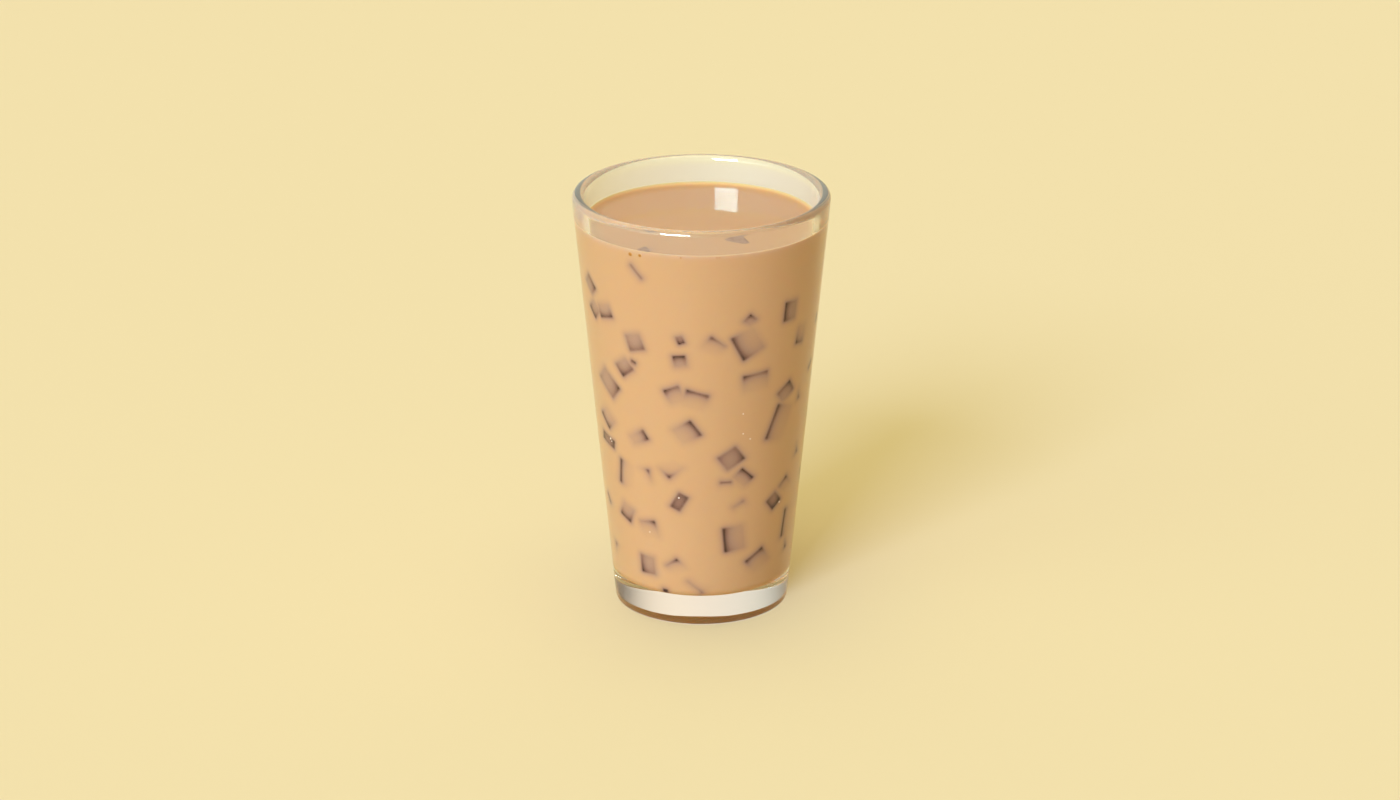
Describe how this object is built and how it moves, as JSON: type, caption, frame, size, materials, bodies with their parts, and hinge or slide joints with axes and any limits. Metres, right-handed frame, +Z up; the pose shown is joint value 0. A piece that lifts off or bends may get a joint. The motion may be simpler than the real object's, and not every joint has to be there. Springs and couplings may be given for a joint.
{
  "type": "iced milk tea",
  "caption": "Milk tea with dark jelly cubes in a tall clear conical glass with a thick base, filled to just under the rim.",
  "frame": {"origin": "centre of the glass's foot, on the surface it stands on", "axes": "+Z up along the axis the glass is turned about; -Y faces the picture's camera, with +X to its right"},
  "size_m": [0.0888, 0.0888, 0.1492],
  "materials": {
    "clear_glass": "clear pressed soda-lime glass",
    "milk_tea": "opaque milky liquid with a wet surface",
    "dark_jelly": "wet translucent dark brown jelly"
  },
  "bodies": {
    "root": {"glass": "clear_glass", "milk_tea": "milk_tea", "jelly_cube_right": "dark_jelly", "jelly_cube_left": "dark_jelly"}
  },
  "joints": []
}
